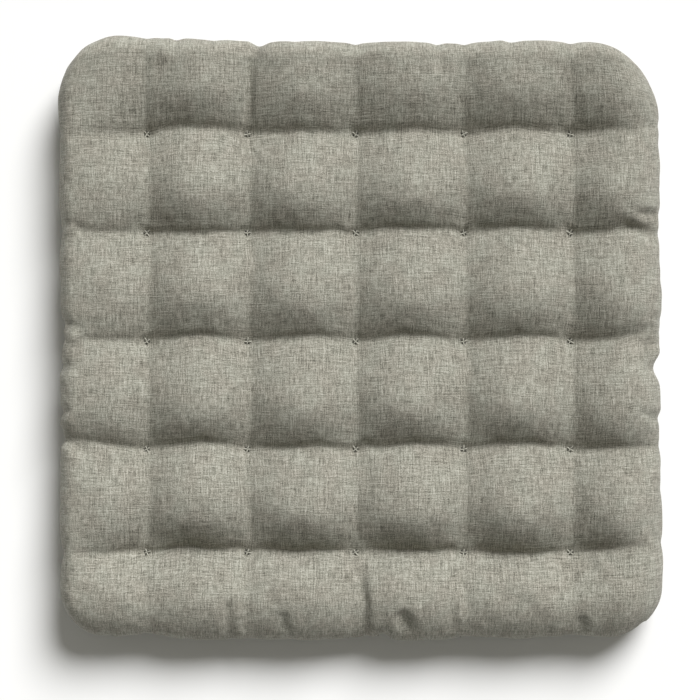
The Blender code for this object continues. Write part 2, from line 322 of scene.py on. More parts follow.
def pillowTops(x, y, across, along, outX, outY):
    # height of the filled top, from how far each point is across and along its pillow
    look = coverLook
    rowOf = np.argmin([abs(y - line) for line in rowY], axis=0)
    columnOf = np.argmin([abs(x - line) for line in columnX], axis=0)
    rowCrease = np.array([row["crease"] for row in look["rows"]])[rowOf]
    rowFade = np.array([row["fade"] for row in look["rows"]])[rowOf, (x > 0).astype(int)]
    rowCrease = rowCrease + (crownHeight - rowCrease) * np.clip(rowFade * outX, 0, 1)
    backDepth, frontDepth = look["columnDepth"]
    depth = backDepth + (frontDepth - backDepth) * np.clip(shares(y, rowY), 0, 1)
    columnFade = np.array([column["fade"] for column in look["columns"]])
    columnFade = columnFade[columnOf, (y > 0).astype(int)]
    columnCrease = crownHeight - depth * (1 - np.clip(columnFade * outY, 0, 1))
    full = look["tuftTop"] * (1 - across) * (1 - along)
    full += rowCrease * across * (1 - along) + columnCrease * along * (1 - across)
    full += crownHeight * across * along
    lumps = ripple(x, y, look["lumpLength"], noiseLayer["lumps"])
    return full + look["lumps"] * across * along * lumps


def bendCreases(plainX, plainY, outX, toEnd):
    # creases bow between tufts, climb in the side borders and wander a little
    look = coverLook
    x, y = plainX.copy(), plainY.copy()
    wander = look["creaseWander"] * ripple(plainX, plainY * look["wanderStretch"],
                                           look["wanderLength"], noiseLayer["wander"])
    gap = np.clip(np.searchsorted(columnX, plainX) - 1, 0, tuftColumns - 2)
    offEnd = np.clip(toEnd / look["edgeReach"], 0, 1)
    for index, (line, one) in enumerate(zip(rowY, look["rows"])):
        left, right = one["climb"]
        climb = np.where(plainX > 0, right, left) * outX ** look["climbEase"]
        bow = np.array(one["bow"])[gap] * between(plainX, columnX)
        layer = noiseLayer["bow"] + noiseLayer["nextRow"] * index
        bow *= 1 + look["bowUneven"] * ripple(plainX, plainX * 0, look["bowLength"], layer)
        y += (bow + climb) * nearLine(plainY, line, look["bowReach"]) * offEnd
        y += wander * nearLine(plainY, line, look["wanderReach"])
    for line, one in zip(columnX, look["columns"]):
        x += one["bow"] * between(plainY, rowY) * nearLine(plainX, line, look["bowReach"])
        x += wander * nearLine(plainX, line, look["wanderReach"])
    return x, y


def drawEdgeIn(x, y, plainX, plainY):
    # the edge waves, and is drawn in where creases meet it
    look = coverLook
    toSide, toEnd = halfWidth - abs(plainX), halfDepth - abs(plainY)
    nearEdge = np.clip(1 - np.minimum(toSide, toEnd) / look["edgeReach"], 0, 1) ** look["edgeEase"]
    atSide = toSide < toEnd
    fullness = look["scallopFullness"]
    creasing = np.where(atSide, 1 - swell(phases(plainY, rowY, halfDepth, 1), fullness),
                        1 - swell(phases(plainX, columnX, halfWidth, 1), fullness))
    wave = ripple(x, y, look["waveLength"], noiseLayer["edge"]) - look["waveMiddle"]
    wave = look["edgeWave"] * wave
    inward = {side: np.interp(plainY if side in ("left", "right") else plainX, *zip(*marks))
              for side, marks in look["edgeIn"].items()}
    atSideIn = np.where(plainX > 0, inward["right"], inward["left"])
    atEndIn = np.where(plainY > 0, inward["back"], inward["front"])
    drawn = look["scallop"] * creasing - wave + np.where(atSide, atSideIn, atEndIn)
    drawn = nearEdge * drawn
    return (x - np.where(atSide, np.sign(x) * drawn, 0),
            y - np.where(atSide, 0, np.sign(y) * drawn))


def shapeSheet(sheet, under):
    look = coverLook
    cells = look["cellsInPillow"] * (tuftColumns + 1)
    points = readPoints(sheet.data)
    column = np.rint((points[:, 0] + 1) / 2 * cells).astype(int)
    row = np.rint((points[:, 1] + 1) / 2 * cells).astype(int)
    clothX, placeX = clothLines(halfWidth, columnX)
    clothY, placeY = clothLines(halfDepth, rowY)
    flatX, flatY = roundCorner(clothX[column], clothY[row], clothX[-1], clothY[-1],
                               {corner: look["cutRadius"] for corner in look["cornerRadius"]})
    plainX, plainY = placeX[column], placeY[row]
    toSide, toEnd = halfWidth - abs(plainX), halfDepth - abs(plainY)
    outX = np.clip((abs(plainX) - columnX[-1]) / (halfWidth - columnX[-1]), 0, 1)
    outY = np.clip((abs(plainY) - rowY[-1]) / (halfDepth - rowY[-1]), 0, 1)
    acrossPhase = phases(plainX, columnX, halfWidth, 1.0)
    rowSkew = np.where(plainY < rowY[1], look["frontSkew"], look["rowSkew"])
    alongPhase = phases(plainY, rowY, halfDepth, 1.0 if under else rowSkew)
    rolls = look["underRoll"] if under else look["topRoll"]
    edge = roll(toSide, np.where(plainX > 0, rolls["right"], rolls["left"]))
    edge *= roll(toEnd, np.where(plainY > 0, rolls["back"], rolls["front"]))
    if under:
        across = swell(acrossPhase, look["underSwell"])
        along = swell(alongPhase, look["underSwell"])
        offTuft = across + along - across * along
        full = look["tuftUnder"] * (1 - offTuft)
        full += look["creaseUnder"] * (offTuft - across * along)
    else:
        across = swell(acrossPhase, look["columnFullness"])
        along = swell(alongPhase, look["rowFullness"])
        full = pillowTops(plainX, plainY, across, along, outX, outY)
    z = seamHeight + (full - seamHeight) * edge
    x, y = bendCreases(plainX, plainY, outX, toEnd)
    x, y = roundCorner(x, y, halfWidth, halfDepth, look["cornerRadius"])
    x, y = drawEdgeIn(x, y, plainX, plainY)
    writePoints(sheet.data, np.column_stack([x, y, z]))
    # the flat cut is kept in the UV map, in metres, for the weave
    loops = np.empty(len(sheet.data.loops), int)
    sheet.data.loops.foreach_get("vertex_index", loops)
    flat = np.column_stack([flatX, flatY])
    sheet.data.uv_layers[0].data.foreach_set("uv", flat[loops].ravel())
    tuftLines = [look["cellsInPillow"] * (n + 1) for n in range(tuftColumns)]
    onTuft = np.isin(column, tuftLines) & np.isin(row, tuftLines)
    onSeam = (column == 0) | (column == cells) | (row == 0) | (row == cells)
    hold = np.where(onSeam, look["holdSeam"], look["holdUnder"] if under else look["holdTop"])
    paintGroup(sheet, "hold", np.where(onTuft, 1.0, hold))
    crowns = swell(acrossPhase, 1.0) * swell(alongPhase, 1.0)
    nearSeam = np.clip(1 - np.minimum(toSide, toEnd) / look["slackReach"], 0, 1)
    slack = np.clip(np.maximum(1 - crowns, nearSeam), 0, 1)
    paintGroup(sheet, "slack", slack * (look["underSlack"] if under else 1.0))


def makeCover():
    top = makeSheet("topCover")
    shapeSheet(top, False)
    under = makeSheet("underCover")
    shapeSheet(under, True)
    setMode("EDIT")
    bpy.ops.mesh.select_all(action="SELECT")
    bpy.ops.mesh.flip_normals()
    setMode("OBJECT")
    for sheet in (top, under):
        sheet.data.materials.append(bpy.data.materials.new(sheet.name))
    deselectAll()
    under.select_set(True)
    top.select_set(True)
    bpy.context.view_layer.objects.active = top
    bpy.ops.object.join()
    setMode("EDIT")
    bpy.ops.mesh.select_all(action="SELECT")
    bpy.ops.mesh.remove_doubles(threshold=1e-5)
    setMode("OBJECT")
    return top


def fillCover(cover):
    # the filling presses the cloth out, and its spare width gathers in small wrinkles
    look = coverLook
    start = readPoints(cover.data).copy()
    cloth = cover.modifiers.new("cloth", "CLOTH")
    settings = cloth.settings
    settings.quality = look["quality"]
    settings.mass = look["mass"]
    for kind in ("tension", "compression", "shear"):
        setattr(settings, kind + "_stiffness", look[kind])
        setattr(settings, kind + "_damping", look["damping"])
    settings.bending_stiffness = look["bending"]
    settings.air_damping = look["airDamping"]
    settings.vertex_group_shrink = "slack"
    settings.shrink_min = -look["crownSlack"]
    settings.shrink_max = -look["creaseSlack"]
    settings.use_pressure = True
    settings.uniform_pressure_force = look["pressure"]
    settings.vertex_group_mass = "hold"
    settings.pin_stiffness = look["pinStiffness"]
    settings.effector_weights.gravity = 0
    cloth.collision_settings.use_collision = False
    cloth.point_cache.frame_start = 1
    cloth.point_cache.frame_end = look["frames"] + 1
    for frameNumber in range(1, look["frames"] + 1):
        scene.frame_set(frameNumber)
    graph = bpy.context.evaluated_depsgraph_get()
    filled = bpy.data.meshes.new_from_object(cover.evaluated_get(graph), depsgraph=graph)
    cover.modifiers.clear()
    cover.data = filled
    scene.frame_set(1)
    move = readPoints(cover.data) - start
    far = np.linalg.norm(move, axis=1)
    move *= (np.minimum(far, look["mostMove"]) / np.maximum(far, 1e-9))[:, None]
    writePoints(cover.data, start + move)


cover = makeCover()
print("cover sewn:", len(cover.data.vertices), "points")
fillCover(cover)
print("cover filled")

# Tucks where spare cloth folds over: from a point to a point, depth, half width
tuckLook = {
    "ridge": 0.35,            # the lip beside a tuck, against its depth
    "opening": 2.5,           # how soon a tuck is at its full depth
    "leastOpening": 0.1,
    "lowestPoint": 0.004,     # tucks fade out on the way down to the seat
    "fadeHeight": 0.010,
    "tucks": [
        ((0.170, 0.078), (0.194, 0.069), 0.0026, 0.0034),
        ((0.182, 0.0835), (0.195, 0.0825), 0.0020, 0.0034),
        ((0.183, -0.003), (0.196, -0.004), 0.0019, 0.0032),
        ((0.187, -0.015), (0.202, -0.020), 0.0030, 0.0056),
        ((0.184, -0.047), (0.197, -0.052), 0.0014, 0.0034),
        ((-0.179, 0.071), (-0.190, 0.077), 0.0014, 0.0032),
        ((-0.182, 0.006), (-0.194, 0.011), 0.0022, 0.0034),
        ((-0.186, -0.018), (-0.200, -0.017), 0.0017, 0.0036),
        ((-0.190, -0.046), (-0.200, -0.048), 0.0020, 0.0036),
        ((-0.180, -0.075), (-0.195, -0.066), 0.0025, 0.0032),
        ((0.000, -0.150), (0.004, -0.196), 0.0028, 0.0032),
        ((0.013, -0.190), (0.016, -0.201), 0.0026, 0.0042),
        ((0.026, -0.178), (0.032, -0.191), 0.0036, 0.0046),
        ((-0.088, -0.168), (-0.086, -0.197), 0.0025, 0.0034),
        ((-0.052, -0.179), (-0.050, -0.191), 0.0027, 0.0042),
        ((-0.063, -0.160), (-0.060, -0.170), 0.0010, 0.0048),
        ((0.060, -0.164), (0.061, -0.192), 0.0018, 0.0032),
        ((0.086, -0.168), (0.110, -0.173), 0.0014, 0.0062),
        ((0.145, -0.182), (0.148, -0.192), 0.0028, 0.0036),
        ((0.149, -0.142), (0.153, -0.151), 0.0014, 0.0040),
        ((-0.166, -0.186), (-0.168, -0.196), 0.0012, 0.0032),
        ((-0.075, 0.140), (-0.073, 0.183), 0.0018, 0.0030),
        ((-0.072, 0.180), (-0.066, 0.200), 0.0022, 0.0038),
        ((-0.124, 0.184), (-0.122, 0.200), 0.0014, 0.0036),
        ((0.054, 0.174), (0.051, 0.200), 0.0014, 0.0034),
        ((0.099, 0.188), (0.100, 0.200), 0.0010, 0.0034),
        ((-0.135, 0.170), (-0.132, 0.182), 0.0010, 0.0030),
    ],
}


def foldTucks(piece):
    look = tuckLook
    points, normals = readPoints(piece.data), readNormals(piece.data)
    sink = np.zeros(len(points))
    for start, end, depth, width in look["tucks"]:
        start, end = np.array(start), np.array(end)
        run = end - start
        length = np.linalg.norm(run)
        run /= length
        away = points[:, :2] - start
        along = np.clip((away @ run) / length, 0, 1)
        beside = away @ np.array([-run[1], run[0]])
        beyond = np.maximum(0, abs(away @ run / length - 0.5) - 0.5) * length
        groove = np.exp(-(beside ** 2 + beyond ** 2) / width ** 2)
        lip = np.exp(-((beside - 2 * width) ** 2 + beyond ** 2) / width ** 2)
        opened = np.clip(along * look["opening"], look["leastOpening"], 1)
        taper = np.sin(math.pi / 2 * opened)
        sink += depth * taper * (groove - look["ridge"] * lip)
    upper = np.clip((points[:, 2] - look["lowestPoint"]) / look["fadeHeight"], 0, 1)
    writePoints(piece.data, points - normals * (sink * upper)[:, None])


def subdivideOnce(piece):
    smooth = piece.modifiers.new("smooth", "SUBSURF")
    smooth.levels = smooth.render_levels = 1
    applyModifier(piece, smooth)


def settleCover(piece):
    # flat under each star and flat on the seat below; the seam is pinched after this
    look = coverLook
    points = readPoints(piece.data)
    for x in columnX:
        for y in rowY:
            away = np.hypot(points[:, 0] - x, points[:, 1] - y)
            flat = eased(np.clip(1 - away / look["pitRadius"], 0, 1))
            onTop = points[:, 2] > seamHeight * 0.7
            level = np.where(onTop, look["tuftTop"], look["tuftUnder"])
            points[:, 2] += (level - points[:, 2]) * flat * look["pitHold"]
    points[:, 2] = np.maximum(points[:, 2], 0)
    writePoints(piece.data, points)


def seamRing(piece):
    # the points where the two panels meet
    upper, lower = set(), set()
    for face in piece.data.polygons:
        (lower if face.material_index else upper).update(face.vertices)
    return np.array(sorted(upper & lower))


def turnIn(panel, lift):
    # the seam allowance, turned inside
    look = coverLook
    makeOnly(panel)
    setMode("EDIT")
    bpy.ops.mesh.select_mode(type="EDGE")
    bpy.ops.mesh.select_all(action="DESELECT")
    bpy.ops.mesh.select_non_manifold()
    for share in look["allowanceSteps"]:
        bpy.ops.mesh.extrude_edges_move()
        inset = 1 - look["seamAllowance"] * share / halfWidth
        bpy.ops.transform.resize(value=(inset, inset, 1), center_override=(0, 0, seamHeight))
        bpy.ops.transform.translate(value=(0, 0, lift * share))
    bpy.ops.mesh.select_all(action="DESELECT")
    bpy.ops.mesh.select_mode(type="VERT")
    setMode("OBJECT")


stuffing = cover.copy()
stuffing.data = cover.data.copy()
stuffing.name = "huskFilling"
scene.collection.objects.link(stuffing)

subdivideOnce(cover)
foldTucks(cover)
settleCover(cover)
ring = seamRing(cover)
points = readPoints(cover.data)
outward = points[ring, :2] / np.linalg.norm(points[ring, :2], axis=1)[:, None]
points[ring, :2] -= outward * coverLook["seamGroove"]
writePoints(cover.data, points)
coverShape = cover.data.copy()
seamPoints = points[ring].copy()
print("cover folded and settled")

makeOnly(cover)
setMode("EDIT")
bpy.ops.mesh.separate(type="MATERIAL")
setMode("OBJECT")
panels = {}
for piece in bpy.context.selected_objects:
    lowest = readPoints(piece.data)[:, 2].min()
    panels["underCover" if lowest < seamHeight * 0.5 else "topCover"] = piece
for name, piece in panels.items():
    piece.name = name
    lift = coverLook["allowanceLift"]
    turnIn(piece, lift if name == "topCover" else -lift)
    wall = piece.modifiers.new("wall", "SOLIDIFY")
    wall.thickness = coverLook["clothThickness"]
    wall.offset = -1
    applyModifier(piece, wall)
    piece.data.shade_smooth()
topCover, underCover = panels["topCover"], panels["underCover"]
print("panels cut:", len(topCover.data.polygons), len(underCover.data.polygons), "faces")


def surfaceOf(mesh):
    return BVHTree.FromPolygons([v.co.copy() for v in mesh.vertices],
                                [list(f.vertices) for f in mesh.polygons])


coverSurface = surfaceOf(coverShape)

# The filling of husks
fillingLook = {
    "gap": 0.0024,            # cloth and air between the filling and the cover's outside
    "voxel": 0.0042,
    "huskBump": 0.0007,
    "husk": 0.0035,
    "slopeAbove": 1.0,        # how steeply it rises round each star, above and below
    "slopeBelow": 0.6,
    "rimFrom": 0.93,          # the groove for the seam allowances, in shares of the half width
    "rimDepth": 0.04,
    "rimHeight": 0.0045,
}


def makeFilling(piece):
    look = fillingLook
    shrink = piece.modifiers.new("shrink", "DISPLACE")
    shrink.mid_level = 0
    shrink.strength = -look["gap"]
    applyModifier(piece, shrink)
    remesh = piece.modifiers.new("even", "REMESH")
    remesh.mode = "VOXEL"
    remesh.voxel_size = look["voxel"]
    applyModifier(piece, remesh)
    points, normals = readPoints(piece.data), readNormals(piece.data)
    grain = ripple(points[:, 0] + points[:, 2], points[:, 1], look["husk"], noiseLayer["husk"])
    points -= normals * (look["huskBump"] * (1 + grain))[:, None]
    # deep enough under each star, above and below
    tuftTop, tuftUnder = coverLook["tuftTop"], coverLook["tuftUnder"]
    for x in columnX:
        for y in rowY:
            away = np.hypot(points[:, 0] - x, points[:, 1] - y)
            slope = np.maximum(0, away - look["voxel"])
            z = points[:, 2]
            highest = tuftTop - look["gap"] + slope * look["slopeAbove"]
            lowest = tuftUnder + look["gap"] - slope * look["slopeBelow"]
            points[:, 2] = np.where(z > (tuftTop + tuftUnder) / 2,
                                    np.minimum(z, highest), np.maximum(z, lowest))
    points[:, 2] = np.maximum(points[:, 2], look["gap"])
    for index, point in enumerate(points):
        place, normal, _, _ = coverSurface.find_nearest(Vector(point))
        if (Vector(point) - place).dot(normal) > -look["gap"]:
            points[index] = place - normal * look["gap"]
    # a groove round the edge takes the turned-in seam allowances
    rim = np.maximum(abs(points[:, 0]) / halfWidth, abs(points[:, 1]) / halfDepth)
    close = np.clip(1 - abs(points[:, 2] - seamHeight) / look["rimHeight"], 0, 1)
    close = close * (rim > look["rimFrom"])
    points[:, :2] *= (1 - close * look["rimDepth"])[:, None]
    writePoints(piece.data, points)
    piece.data.shade_smooth()
    return piece


filling = makeFilling(stuffing)
print("filling made:", len(filling.data.polygons), "faces")

# Stitched stars and the threads that tie top and underside together
tieLook = {
    "legs": 8,
    "legReach": 0.0029,
    "threadRadius": 0.00046,
    "sides": 6,
    "bentSteps": 5,
    "legStart": 0.0001,       # from the star's middle
    "archHeight": 0.00075,
    "rise": 0.5,              # a leg rises by this at first and dives by that, against its arch
    "dive": 2.9,
    "thinning": 0.12,
    "shadowStrandShare": 0.85,        # size of the dark strands, which are painted shadow in the gaps between the light legs, against the light ones
    "unevenReach": 0.16,
    "unevenTurn": 0.12,
    "firstTurn": 0.35,        # the first star's turn, and how much each row and column adds
    "rowTurn": 1.7,
    "columnTurn": 0.9,
    "shankRadius": 0.00075,
    "shankSides": 10,
    "shankRings": 8,
    "shankWaist": 0.9,
    "tuftHeight": coverLook["tuftTop"] + 0.0002,
    "underHeight": coverLook["tuftUnder"] - 0.0002,
}


def heightAt(x, y, fromBelow=False):
    start = Vector((x, y, -0.1 if fromBelow else 0.2))
    hit = coverSurface.ray_cast(start, Vector((0, 0, 1 if fromBelow else -1)))[0]
    return hit.z if hit else seamHeight


def startThread(sides, radius, location, rotation=(0, 0, 0)):
    # a thread's round end, left in edit mode to be extruded
    deselectAll()
    bpy.ops.mesh.primitive_circle_add(vertices=sides, radius=radius, fill_type="NGON",
                                      location=location, rotation=rotation)
    settlePlace()
    setMode("EDIT")
    return bpy.context.object


def endThread():
    bpy.ops.mesh.select_all(action="SELECT")
    bpy.ops.mesh.normals_make_consistent(inside=False)
    setMode("OBJECT")


def newPiece(name, points, faces, materials):
    mesh = bpy.data.meshes.new(name)
    mesh.from_pydata(points.tolist(), [], faces)
    for material in materials:
        mesh.materials.append(material)
    mesh.shade_smooth()
    piece = bpy.data.objects.new(name, mesh)
    scene.collection.objects.link(piece)
    return piece


def makeLeg():
    # half a stitch: a thread that rises over the middle and dives into the cloth
    look = tieLook
    reached, height = look["legStart"], look["archHeight"]
    leg = startThread(look["sides"], look["threadRadius"], (reached, 0, height),
                      (0, math.pi / 2, 0))
    for step in range(1, look["bentSteps"] + 1):
        share = step / look["bentSteps"]
        arch = 1 + look["rise"] * share - look["dive"] * share ** 3
        newHeight = look["archHeight"] * arch
        ahead = look["legReach"] / look["bentSteps"]
        bpy.ops.mesh.extrude_region_move(
            TRANSFORM_OT_translate={"value": (ahead, 0, newHeight - height)})
        squeeze = 1 - look["thinning"] * share
        reached += ahead
        bpy.ops.transform.resize(value=(1, squeeze, squeeze),
                                 center_override=(reached, 0, newHeight))
        height = newHeight
    setMode("OBJECT")
    return leg


def spinLegs(leg):
    # the other legs, round the star's middle
    look = tieLook
    setMode("EDIT")
    bpy.ops.mesh.select_all(action="SELECT")
    for turn in range(look["legs"] - 1):
        bpy.ops.mesh.duplicate()
        bpy.ops.transform.rotate(value=math.tau / look["legs"], orient_axis="Z",
                                 center_override=(0, 0, 0))
    endThread()


def makeShank():
    look = tieLook
    shank = startThread(look["shankSides"], look["shankRadius"], (0, 0, look["tuftHeight"]))
    waist = look["shankWaist"]
    drop = (look["tuftHeight"] - look["underHeight"]) / look["shankRings"]
    for step in range(1, look["shankRings"] + 1):
        bpy.ops.mesh.extrude_region_move(TRANSFORM_OT_translate={"value": (0, 0, -drop)})
        thickness = waist if step % 2 else 1 / waist
        level = look["tuftHeight"] - drop * step
        bpy.ops.transform.resize(value=(thickness, thickness, 1),
                                 center_override=(0, 0, level))
    endThread()
    return shank


star = makeLeg()
spinLegs(star)
starPoints = readPoints(star.data).copy()
starFaces = [list(face.vertices) for face in star.data.polygons]
legOfFace = [int(face.index // (len(starFaces) / tieLook["legs"])) for face in star.data.polygons]
shank = makeShank()
shankPoints = readPoints(shank.data).copy()
shankFaces = [list(face.vertices) for face in shank.data.polygons]
for spare in (star, shank):
    bpy.data.objects.remove(spare)


def layStar(place, turn, underneath):
    # one star laid on the cloth, each leg a little longer or shorter than the next
    look = tieLook
    points = starPoints.copy()
    # every other leg is a thinner, shorter dark strand: painted shadow in the gaps between the
    # light legs
    shadowLegMask = np.repeat(np.arange(look["legs"]) % 2, len(points) // look["legs"])
    points *= np.where(shadowLegMask, look["shadowStrandShare"], 1.0)[:, None]
    angle = np.arctan2(points[:, 1], points[:, 0])
    reach = 1 + look["unevenReach"] * np.sin(angle * 3 + turn * 5)
    points[:, :2] *= reach[:, None]
    bend = look["unevenTurn"] * np.sin(turn * 9 + angle * 2)
    cosine, sine = np.cos(turn + bend), np.sin(turn + bend)
    x = points[:, 0] * cosine - points[:, 1] * sine + place[0]
    y = points[:, 0] * sine + points[:, 1] * cosine + place[1]
    surface = np.array([heightAt(a, b, underneath) for a, b in zip(x, y)])
    z = surface - points[:, 2] if underneath else surface + points[:, 2]
    return np.column_stack([x, y, z])


def makeTie(name, place, turn):
    top = layStar(place, turn, False)
    below = layStar(place, -turn, True)
    points = np.vstack([top, below, shankPoints + np.array([place[0], place[1], 0])])
    faces = [list(face) for face in starFaces]
    faces += [[n + len(top) for n in reversed(face)] for face in starFaces]
    faces += [[n + len(top) + len(below) for n in face] for face in shankFaces]
    tie = newPiece(name, points, faces, (lightThread, paintedShadowThread))
    # odd legs take the dark thread, which is painted shadow between the light legs; the hidden
    # shank takes it too
    tone = [leg % 2 for leg in legOfFace] * 2 + [1] * len(shankFaces)
    tie.data.polygons.foreach_set("material_index", tone)
    tie.data.update()
    return tie


# Materials
weaveLook = {
    "dark": (0.085, 0.083, 0.064),
    "middle": (0.272, 0.263, 0.221),
    "light": (0.49, 0.477, 0.418),
    "threadWidth": 0.00080,
    "warpLength": 0.0068,
    "weftLength": 0.0066,
    "speck": 0.0008,
    "patch": 0.016,
    "patchAmount": 0.10,
    "patchTints": [(0.34, (1.0, 0.985, 0.980)), (0.66, (0.985, 1.0, 0.995))],
    "warpAmount": 0.48,
    "weftAmount": 0.40,
    "speckAmount": 0.62,
    "slubWidth": 0.0011,
    "slubLength": 0.026,
    "slubAmount": 0.22,
    "slubDetail": 0.5,
    "contrast": 1.15,
    "toneStops": (0.2, 0.5, 0.8),    # where the dark, middle and light tones lie
    "weavePitch": 0.00056,
    "weaveDepth": 0.12,
    "roughness": 0.92,
    "sheen": 0.08,
    "bump": 0.55,
    "bumpHeight": 0.0004,
}


def newMaterial(name, colour, roughness, sheen=0.0):
    material = bpy.data.materials.new(name)
    material.use_nodes = True
    shader = material.node_tree.nodes["Principled BSDF"]
    shader.inputs["Base Color"].default_value = (*colour, 1)
    shader.inputs["Roughness"].default_value = roughness
    shader.inputs["Sheen Weight"].default_value = sheen
    shader.inputs["Sheen Roughness"].default_value = 0.6
    shader.inputs["Specular IOR Level"].default_value = 0.25
    return material


def mathNode(tree, operation, first, second):
    node = tree.nodes.new("ShaderNodeMath")
    node.operation = operation
    for socket, value in zip(node.inputs, (first, second)):
        if isinstance(value, (int, float)):
            socket.default_value = value
        else:
            tree.links.new(value, socket)
    return node.outputs[0]


def noiseNode(tree, place, stretch, detail=1.0, shift=0.0):
    mapping = tree.nodes.new("ShaderNodeMapping")
    mapping.inputs["Scale"].default_value = stretch
    mapping.inputs["Location"].default_value = (shift, shift, shift)
    tree.links.new(place, mapping.inputs["Vector"])
    node = tree.nodes.new("ShaderNodeTexNoise")
    node.inputs["Scale"].default_value = 1
    node.inputs["Detail"].default_value = detail
    tree.links.new(mapping.outputs["Vector"], node.inputs["Vector"])
    return node.outputs["Fac"]


def rampNode(tree, value, stops):
    ramp = tree.nodes.new("ShaderNodeValToRGB")
    elements = ramp.color_ramp.elements
    while len(elements) < len(stops):
        elements.new(0.5)
    for element, (position, colour) in zip(elements, stops):
        element.position = position
        element.color = (*colour, 1)
    tree.links.new(value, ramp.inputs["Fac"])
    return ramp.outputs["Color"]


def bumpNode(tree, shader, height, strength, distance):
    bump = tree.nodes.new("ShaderNodeBump")
    bump.inputs["Strength"].default_value = strength
    bump.inputs["Distance"].default_value = distance
    tree.links.new(height, bump.inputs["Height"])
    tree.links.new(bump.outputs["Normal"], shader.inputs["Normal"])


def weaveMaterial():
    # melange cloth: slubby threads both ways, light and dark, over a fine plain weave
    look = weaveLook
    material = newMaterial("melangeWeave", look["middle"], look["roughness"], look["sheen"])
    tree = material.node_tree
    shader = tree.nodes["Principled BSDF"]
    cut = tree.nodes.new("ShaderNodeUVMap")
    cut.uv_map = "UVMap"
    flat = cut.outputs["UV"]
    # each noise has a shift of its own, the last number, so that no two look alike
    thin = 1 / look["threadWidth"]
    warp = noiseNode(tree, flat, (thin, 1 / look["warpLength"], 1), 1.0, 3.0)
    weft = noiseNode(tree, flat, (1 / look["weftLength"], thin, 1), 1.0, 11.0)
    specks = noiseNode(tree, flat, (1 / look["speck"],) * 3, 1.0, 23.0)
    patches = noiseNode(tree, flat, (1 / look["patch"],) * 3, 1.0, 31.0)
    wide, detail = 1 / look["slubWidth"], look["slubDetail"]
    warpSlubs = noiseNode(tree, flat, (wide, 1 / look["slubLength"], 1), detail, 41.0)
    weftSlubs = noiseNode(tree, flat, (1 / look["slubLength"], wide, 1), detail, 53.0)
    tone = mathNode(tree, "MULTIPLY", mathNode(tree, "SUBTRACT", warp, 0.5), look["warpAmount"])
    for value, amount in ((weft, look["weftAmount"]), (specks, look["speckAmount"]),
                          (patches, look["patchAmount"]), (warpSlubs, look["slubAmount"]),
                          (weftSlubs, look["slubAmount"])):
        part = mathNode(tree, "MULTIPLY", mathNode(tree, "SUBTRACT", value, 0.5), amount)
        tone = mathNode(tree, "ADD", tone, part)
    tone = mathNode(tree, "ADD", mathNode(tree, "MULTIPLY", tone, look["contrast"]), 0.5)
    tones = [look[name] for name in ("dark", "middle", "light")]
    colour = rampNode(tree, tone, list(zip(look["toneStops"], tones)))
    tint = rampNode(tree, patches, look["patchTints"])
    mix = tree.nodes.new("ShaderNodeMix")
    mix.data_type = "RGBA"
    mix.blend_type = "MULTIPLY"
    mix.inputs["Factor"].default_value = 1
    tree.links.new(colour, mix.inputs["A"])
    tree.links.new(tint, mix.inputs["B"])
    tree.links.new(mix.outputs["Result"], shader.inputs["Base Color"])
    parts = tree.nodes.new("ShaderNodeSeparateXYZ")
    tree.links.new(flat, parts.inputs["Vector"])
    around = math.tau / look["weavePitch"]
    waves = [mathNode(tree, "SINE", mathNode(tree, "MULTIPLY", parts.outputs[axis], around), 0)
             for axis in (0, 1)]
    crossings = mathNode(tree, "MULTIPLY", waves[0], waves[1])
    relief = mathNode(tree, "MULTIPLY", crossings, look["weaveDepth"])
    bumpNode(tree, shader, mathNode(tree, "ADD", tone, relief), look["bump"], look["bumpHeight"])
    return material


threadLook = {
    "roughness": 0.75,
    "sheen": 0.1,
    "strands": (5200, 5200, 2600),    # per metre
    "strandStops": (0.35, 0.6),
    "bump": 0.6,
    "bumpHeight": 0.0002,
}


def threadMaterial(name, colour, darker):
    look = threadLook
    material = newMaterial(name, colour, look["roughness"], look["sheen"])
    tree = material.node_tree
    shader = tree.nodes["Principled BSDF"]
    place = tree.nodes.new("ShaderNodeTexCoord").outputs["Object"]
    strands = noiseNode(tree, place, look["strands"], 2.0)
    shade = tuple(part * darker for part in colour)
    tones = rampNode(tree, strands, list(zip(look["strandStops"], (shade, colour))))
    tree.links.new(tones, shader.inputs["Base Color"])
    bumpNode(tree, shader, strands, look["bump"], look["bumpHeight"])
    return material


huskLook = {
    "colour": (0.19, 0.12, 0.07),
    "shades": [(0.0, (0.30, 0.21, 0.13)), (0.5, (0.16, 0.10, 0.06)), (1.0, (0.05, 0.032, 0.02))],
    "cells": 260,             # per metre
    "roughness": 0.7,
    "bump": 0.8,
    "bumpHeight": 0.001,
}


def huskMaterial():
    look = huskLook
    material = newMaterial("huskFilling", look["colour"], look["roughness"])
    tree = material.node_tree
    shader = tree.nodes["Principled BSDF"]
    place = tree.nodes.new("ShaderNodeTexCoord").outputs["Object"]
    cells = tree.nodes.new("ShaderNodeTexVoronoi")
    cells.inputs["Scale"].default_value = look["cells"]
    tree.links.new(place, cells.inputs["Vector"])
    shades = rampNode(tree, cells.outputs["Distance"], look["shades"])
    tree.links.new(shades, shader.inputs["Base Color"])
    bumpNode(tree, shader, cells.outputs["Distance"], look["bump"], look["bumpHeight"])
    return material


weave = weaveMaterial()
lightThread = threadMaterial("lightThread", (0.45, 0.44, 0.375), 0.7)
# the dark thread is painted shadow: it stands in for the shaded gaps between a star's light legs
paintedShadowThread = threadMaterial("paintedShadowThread", (0.075, 0.073, 0.058), 0.6)
seamThread = threadMaterial("seamThread", (0.30, 0.29, 0.24), 0.6)
husks = huskMaterial()
for piece, material in ((topCover, weave), (underCover, weave), (filling, husks)):
    piece.data.materials.clear()
    piece.data.materials.append(material)
print("materials made")

